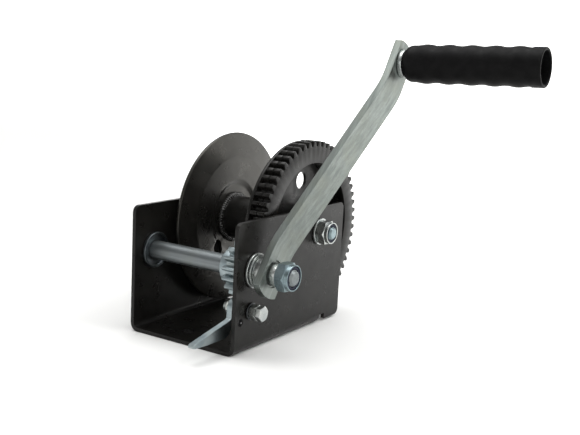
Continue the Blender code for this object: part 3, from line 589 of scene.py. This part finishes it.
def build_drum_bush(node, side):
    """A bush in one end of the hub tube; its flange is on the side given along X."""
    low, high = span(node, DRUM)
    flange, flange_thickness = reach(node, DRUM), 1.8
    inner, outer = 8.35, TUBE_BORE - 0.3
    tip, far = (high, low) if side > 0 else (low, high)
    face = tip - side * flange_thickness
    rows = filleted([(flange, tip), (flange, face), (outer, face), (outer, far), (inner, far), (inner, tip)],
                    0.4)
    stand_in(revolve(node + "_fine", rows, DRUM), node)


def build_left_flange():
    """The dished flange, with the section of its CAD node, soft bends and a drilled rope hole."""
    low, high = span("drum_flange_left", DRUM)
    hub = low + 3.6
    faces = [(TUBE_RADIUS + 0.3, hub), (27.0, hub), (30.0, high), (49.5, high), (54.0, high - 0.8),
             (reach("drum_flange_left", DRUM), low + FLANGE_THICKNESS)]
    inner_side = filleted(faces, 5.0, closed=False, count=6, least_turn=4)
    outer_side = [(radius, x - FLANGE_THICKNESS) for radius, x in reversed(inner_side)]
    rim = filleted([inner_side[-2], inner_side[-1], outer_side[0], outer_side[1]], 0.9, closed=False)
    rows = inner_side[:-2] + rim + outer_side[2:]
    flange = revolve("drum_flange_left_fine", rows, DRUM, 192)
    y, z, radius = ROPE_HOLE
    drill = revolve("rope_hole_cutter", [(0, -10), (radius, -10), (radius, 10), (0, 10)],
                    DRUM @ Matrix.Translation((hub, y, z)), 64)
    cut = flange.modifiers.new("rope hole", "BOOLEAN")
    cut.object = drill
    applied = bpy.data.meshes.new_from_object(flange.evaluated_get(bpy.context.evaluated_depsgraph_get()))
    flange.modifiers.clear()
    flange.data = applied
    bpy.data.objects.remove(drill, do_unlink=True)
    edge = flange.modifiers.new("rounded edges", "BEVEL")
    edge.width = 0.45 * MM
    edge.segments = 3
    edge.angle_limit = math.radians(50)
    stand_in(flange, "drum_flange_left", "drum_paint")


def build_hub_weld(node, side):
    """A fillet weld round the hub, with the uneven ripples of a hand-run bead."""
    low, high = span(node, DRUM)
    inner, leg, swell = TUBE_RADIUS + 0.05, high - low, 0.85
    face, tip = (low, high) if side > 0 else (high, low)

    def ripple(angle):
        wave = math.sin(58 * angle + 1.4 * math.sin(5 * angle))
        return 0.20 * wave + 0.22 * math.sin(7 * angle + 1.0) + 0.16 * math.sin(17 * angle)

    def bead(share):
        turn = math.radians(90 * share)

        def row(angle):
            size = leg - 0.6 + ripple(angle)
            width, height = size * math.cos(turn) ** swell, min(size, leg) * math.sin(turn) ** swell
            return inner + width, face + side * height
        return row

    rows = [(inner, face)] + [bead(i / 8) for i in range(8)] + [(inner, tip - side * 0.35)]
    stand_in(revolve(node + "_fine", rows, DRUM, 384, 60), node, "weld")


def build_gear_weld(number):
    """A short bead in the corner between the gear rings and the right flange."""
    node = f"gear_weld_{number + 1}"
    low, high = span(node, DRUM)
    middle, half = math.radians(94 + 90 * number), math.radians(8.6)
    centre, size = 49.6, 1.75
    shape = bmesh.new()
    rings = []
    count, sides = 72, 20
    for i in range(count + 1):
        share = 2 * i / count - 1
        angle = middle + half * share
        taper = math.sqrt(max(0.0, 1 - abs(share) ** 5))
        girth = size * taper * (0.86 + 0.07 * math.sin(30 * share) + 0.05 * math.sin(11 * share + number))
        ring = []
        for j in range(sides):
            around = TAU * j / sides
            x = (low + high) / 2 + min(girth, (high - low) / 2) * math.sin(around)
            radius = centre + girth * math.cos(around)
            ring.append(shape.verts.new(DRUM @ Vector((x, *polar(radius, angle)))))
        rings.append(ring)
    for first, second in zip(rings, rings[1:]):
        for j in range(sides):
            k = (j + 1) % sides
            shape.faces.new((first[j], first[k], second[k], second[j]))
    stand_in(object_from(node + "_fine", shape, 60), node, "weld")


# ---------------------------------------------------------------- pinion shaft and crank


def build_shaft():
    low, high = span("pinion_shaft", SHAFT)
    radius, journal, screw = 7.0, 8.0, 6.0
    shoulder = span("pinion_gear", SHAFT)[1] + 0.3
    drive_end = span("crank_collar", SHAFT)[0] - 0.7
    groove_low, groove_high = low + 1.9, low + 3.5
    groove = radius - 1.2
    rows = [(0, low), (radius - 0.8, low), (radius, low + 0.8), (radius, groove_low), (groove, groove_low),
            (groove, groove_high), (radius, groove_high), (radius, shoulder), (journal, shoulder),
            (journal, drive_end), (screw, drive_end), (screw, drive_end + 2)]
    rows += thread_rows(screw, M12_PITCH, drive_end + 2, high, tip=1.5) + [(0, high)]
    stand_in(revolve("pinion_shaft_fine", rows, SHAFT, 96, 30), "pinion_shaft", "zinc_shaft")
    low, high = span("shaft_bush_right", SHAFT)
    lip = reach("shaft_bush_right", SHAFT)
    body, bore, lip_low = 11.0, 8.35, high - 2.0
    rows = filleted([(lip, high), (lip, lip_low), (body, lip_low), (body, low), (bore, low), (bore, high)],
                    0.6)
    stand_in(revolve("shaft_bush_right_fine", rows, SHAFT), "shaft_bush_right")
    low, high = span("shaft_bush_left", SHAFT)
    lip = reach("shaft_bush_left", SHAFT)
    body, bore, recess, lip_low = 10.0, 7.35, 11.6, high - 2.5
    rows = filleted([(lip, high), (lip, lip_low), (body, lip_low), (body, low), (bore, low),
                     (bore, low + 1), (bore, high - 1.6), (recess, high - 1.2), (recess, high)], 0.5)
    stand_in(revolve("shaft_bush_left_fine", rows, SHAFT), "shaft_bush_left", "zinc_dull")
    washer("thrust_washer", 8.3, SHAFT)
    washer("shaft_spacer", 8.3, SHAFT, 0.5)
    washer("shaft_washer_left", 7.3, SHAFT)
    softened("shaft_retaining_ring", "shaft_retaining_ring_fine", 0.15)


def build_crank():
    softened("crank_arm", "crank_arm_fine", 0.7, "zinc_arm")
    washer("crank_collar", 6.3, SHAFT, 0.8)
    nyloc("crank_nut", M12_FLATS, 6.3, SHAFT, 0.0)
    build_grip()
    low, high = span("grip_pin", GRIP)
    head, neck, screw = reach("grip_pin", GRIP), 5.0, 4.0
    rows = filleted([(0, low), (neck, low + 0.4), (head - 1.1, low + 1.4), (head, low + 3.6),
                     (neck, low + 3.6)], 0.5, closed=False)
    rows += [(neck, high - 10.7), (screw, high - 10.7)]
    rows += thread_rows(screw, M8_PITCH, high - 10.2, high, tip=0.8)
    stand_in(revolve("grip_pin_fine", rows + [(0, high)], GRIP, 96, 30), "grip_pin")
    washer("grip_washer_arm", 5.3, GRIP)
    washer("grip_washer_end", 4.3, GRIP)
    plain_nut("grip_nut", M8_FLATS, 4.3, GRIP, HEAD_TURN)


def build_grip():
    """The handle: a domed end at the arm, five shallow waves and a hollow end with a rolled lip."""
    low, high = span("grip", GRIP)
    radius, wave, pitch, wave_start, waves = 13.7, 0.45, 17.0, 11.0, 5
    hollow, hollow_start, bore, dome = 11.7, 56.0, 5.5, 5.5
    rows = [(bore, low)]
    for i in range(13):
        angle = math.radians(90 - 90 * i / 12)
        rows.append((radius - wave - dome + dome * math.cos(angle), low + dome - dome * math.sin(angle)))
    samples = 16
    for i in range(waves * samples + 1):
        rows.append((radius - wave * math.cos(TAU * i / samples), wave_start + pitch * i / samples))
    lip = filleted([(radius + 0.1, wave_start + pitch * waves + 1.5), (radius + 0.1, high), (hollow, high),
                    (hollow, high - 6)], 1.0, closed=False, count=6)
    rows += lip + [(hollow, hollow_start), (bore, hollow_start)]
    stand_in(revolve("grip_fine", rows, GRIP, 160, 40), "grip")


# ---------------------------------------------------------------- frame and pawl


def build_frame():
    softened("frame", "frame_fine", 0.6)


def build_pawl():
    softened("pawl", "pawl_fine", 0.45, "zinc_gear")
    low, high = span("pawl_bolt", PAWL)
    radius, head = 3.0, 4.0
    rows = [(0, low)] + [(radius - 0.7, low)] + thread_rows(radius, M6_PITCH, low + 0.6, high - head - 0.4)
    rows += [(radius, high - head)] + hex_rows(M6_FLATS, high - head, high, HEAD_TURN, False, True)
    stand_in(revolve("pawl_bolt_fine", rows + [(0, high)], PAWL, 96, 30, HEAD_TURN), "pawl_bolt")
    # the washer's dark steel colour is painted shade below the lock nut
    washer("pawl_bolt_washer", 3.3, PAWL, 0.25, look="dark_steel")
    plain_nut("pawl_lock_nut", M6_FLATS, 3.3, PAWL, HEAD_TURN)
    plain_nut("pawl_inner_nut", M6_FLATS, 3.3, PAWL, HEAD_TURN)
    washer("pawl_spacer", 3.3, PAWL, 0.3)
    build_spring()


def build_spring():
    """The torsion spring: a leg in the plate's small hole, a coil round the bolt and a leg in the pawl.

    On the real winch its coil winds up between the two legs as the pawl tilts; here it is built in one pose
    and put on no body.
    """
    coil, wire, turns = 6.2, 0.6, 2.45
    hole = Vector((-11.6, -5.9))
    start = math.atan2(hole.y, hole.x) - math.acos(coil / hole.length)
    start_x, end_x = 43.9, 39.9
    low, high = span("pawl_spring", PAWL)
    path = [(high, hole.x, hole.y), (start_x + 0.9, hole.x, hole.y),
            (start_x + 0.3, hole.x * 0.985, hole.y * 0.985)]
    count = round(turns * 40)
    for i in range(count + 1):
        angle = start + TAU * turns * i / count
        path.append((start_x + (end_x - start_x) * i / count, coil * math.cos(angle), coil * math.sin(angle)))
    leg = (coil * math.cos(start + TAU * turns), coil * math.sin(start + TAU * turns))
    path += [(end_x - 0.8, *leg), (low, *leg)]
    curve = bpy.data.curves.new("spring_path", "CURVE")
    curve.dimensions = "3D"
    curve.bevel_depth = wire * MM
    curve.bevel_resolution = 5
    curve.use_fill_caps = True
    spline = curve.splines.new("POLY")
    spline.points.add(len(path) - 1)
    for point, place in zip(spline.points, path):
        point.co = (*(PAWL @ Vector(place) * MM), 1.0)
    spline.use_smooth = True
    wire_path = bpy.data.objects.new("spring_path", curve)
    bpy.context.scene.collection.objects.link(wire_path)
    mesh = bpy.data.meshes.new_from_object(wire_path.evaluated_get(bpy.context.evaluated_depsgraph_get()))
    bpy.data.objects.remove(wire_path, do_unlink=True)
    mesh.shade_smooth()
    mesh.set_sharp_from_angle(angle=math.radians(40))
    spring = bpy.data.objects.new("pawl_spring_fine", mesh)
    bpy.context.scene.collection.objects.link(spring)
    stand_in(spring, "pawl_spring", rides=False)
    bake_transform(spring)


# ---------------------------------------------------------------- camera, floor and light

CAMERA_PLACE = Vector((0.39762, -0.53748, 0.20888))
CAMERA_AZIMUTH, CAMERA_ELEVATION, CAMERA_ROLL = (math.radians(angle) for angle in (32.74, 10.31, 2.93))
CAMERA_LENS = 55.89
FLOOR_GLOW = 1.1
FAR_GLOW = 0.48
ROOM_LIGHT = 0.70
ROOM_SHADE = 0.04


def build_camera():
    data = bpy.data.cameras.new("camera")
    data.sensor_width = 36.0
    data.lens = CAMERA_LENS
    camera = bpy.data.objects.new("camera", data)
    bpy.context.scene.collection.objects.link(camera)
    sine, cosine = math.sin(CAMERA_AZIMUTH), math.cos(CAMERA_AZIMUTH)
    ahead = Vector((-sine * math.cos(CAMERA_ELEVATION), cosine * math.cos(CAMERA_ELEVATION),
                    -math.sin(CAMERA_ELEVATION)))
    right = Vector((cosine, sine, 0.0))
    up = right.cross(ahead)
    turned_right = math.cos(CAMERA_ROLL) * right + math.sin(CAMERA_ROLL) * up
    turned_up = math.cos(CAMERA_ROLL) * up - math.sin(CAMERA_ROLL) * right
    camera.matrix_world = Matrix((turned_right, turned_up, -ahead)).transposed().to_4x4()
    camera.location = CAMERA_PLACE
    bpy.context.scene.camera = camera


def new_nodes(owner):
    owner.use_nodes = True
    return owner.node_tree.nodes, owner.node_tree.links


def fade(nodes, links, value, start, end, low, high, curve="SMOOTHSTEP"):
    """A value that goes from low to high as another goes from start to end."""
    made = nodes.new("ShaderNodeMapRange")
    made.interpolation_type = curve
    for name, setting in (("From Min", start), ("From Max", end), ("To Min", low), ("To Max", high)):
        made.inputs[name].default_value = setting
    links.new(value, made.inputs["Value"])
    return made.outputs["Result"]


def fade_along(nodes, links, source, direction, start, end, low, high):
    """A value that goes from low to high as a point moves along a direction."""
    product = nodes.new("ShaderNodeVectorMath")
    product.operation = "DOT_PRODUCT"
    product.inputs[1].default_value = direction
    links.new(source, product.inputs[0])
    return fade(nodes, links, product.outputs["Value"], start, end, low, high)


def pale_floor():
    """Pale card that glows behind the object and, more weakly, far from it on all sides."""
    made = bpy.data.materials.new("pale_floor")
    nodes, links = new_nodes(made)
    shader = nodes["Principled BSDF"]
    shader.inputs["Base Color"].default_value = (0.80, 0.80, 0.79, 1.0)
    shader.inputs["Roughness"].default_value = 0.8
    shader.inputs["Specular IOR Level"].default_value = 0.1
    shader.inputs["Emission Color"].default_value = (1.0, 1.0, 0.99, 1.0)
    place = nodes.new("ShaderNodeTexCoord").outputs["Object"]
    behind = fade_along(nodes, links, place, (0.42, 0.90, 0.0), 0.15, 0.72, 0.0, FLOOR_GLOW)
    distance = nodes.new("ShaderNodeVectorMath")
    distance.operation = "LENGTH"
    links.new(place, distance.inputs[0])
    around = fade(nodes, links, distance.outputs["Value"], 0.6, 2.2, 0.0, FAR_GLOW, "LINEAR")
    glow = nodes.new("ShaderNodeMath")
    glow.operation = "MAXIMUM"
    links.new(behind, glow.inputs[0])
    links.new(around, glow.inputs[1])
    links.new(glow.outputs["Value"], shader.inputs["Emission Strength"])
    return made


def build_floor():
    """A round pale floor that curves up into a low wall on all sides."""
    shape = bmesh.new()
    flat, bend, wall, count, steps = 3.0, 1.0, 1.3, 12, 96
    section = [(0.0, 0.0), (flat / 2, 0.0), (flat, 0.0)]
    section += [(flat + bend * math.sin(TAU / 4 * i / count), bend - bend * math.cos(TAU / 4 * i / count))
                for i in range(1, count + 1)]
    section.append((flat + bend, wall))
    rings = [[shape.verts.new((radius * math.cos(TAU * i / steps), radius * math.sin(TAU * i / steps), z))
              for i in range(steps)] for radius, z in section]
    for first, second in zip(rings, rings[1:]):
        for i in range(steps):
            j = (i + 1) % steps
            shape.faces.new((first[i], first[j], second[j], second[i]))
    bmesh.ops.remove_doubles(shape, verts=shape.verts, dist=0.001)
    bmesh.ops.dissolve_degenerate(shape, edges=shape.edges, dist=0.0001)
    mesh = bpy.data.meshes.new("floor")
    shape.to_mesh(mesh)
    shape.free()
    mesh.shade_smooth()
    floor = bpy.data.objects.new("floor", mesh)
    bpy.context.scene.collection.objects.link(floor)
    floor.data.materials.append(pale_floor())


def area_light(name, place, target, size, power):
    data = bpy.data.lights.new(name, "AREA")
    data.shape = "RECTANGLE"
    data.size, data.size_y = size
    data.energy = power
    light = bpy.data.objects.new(name, data)
    bpy.context.scene.collection.objects.link(light)
    light.location = place
    light.rotation_euler = (Vector(target) - Vector(place)).to_track_quat("-Z", "Y").to_euler()


def build_light():
    """A dim room, lighter above and behind on the right, with four soft boxes round the object."""
    world = bpy.data.worlds.new("studio")
    bpy.context.scene.world = world
    nodes, links = new_nodes(world)
    place = nodes.new("ShaderNodeTexCoord").outputs["Generated"]
    strength = fade_along(nodes, links, place, (0.45, 0.60, 0.66), -0.4, 1.0, ROOM_SHADE, ROOM_LIGHT)
    links.new(strength, nodes["Background"].inputs["Strength"])
    nodes["Background"].inputs["Color"].default_value = (1.0, 1.0, 1.0, 1.0)
    middle = (0.02, 0.0, 0.09)
    area_light("key", (0.9, 0.5, 1.3), middle, (0.9, 0.9), 12)
    area_light("overhead", (-0.2, 0.1, 1.4), middle, (1.1, 1.1), 15)
    area_light("front_strip", (0.9, -1.0, 0.9), middle, (0.25, 1.0), 3)
    area_light("left_box", (-0.75, -0.64, 1.05), middle, (0.9, 0.9), 1.4)


build_frame()
build_axle()
build_gears()
build_drum()
build_shaft()
build_crank()
build_pawl()
build_camera()
build_floor()
build_light()
bpy.context.scene.view_settings.view_transform = "Standard"

bpy.context.view_layer.update()
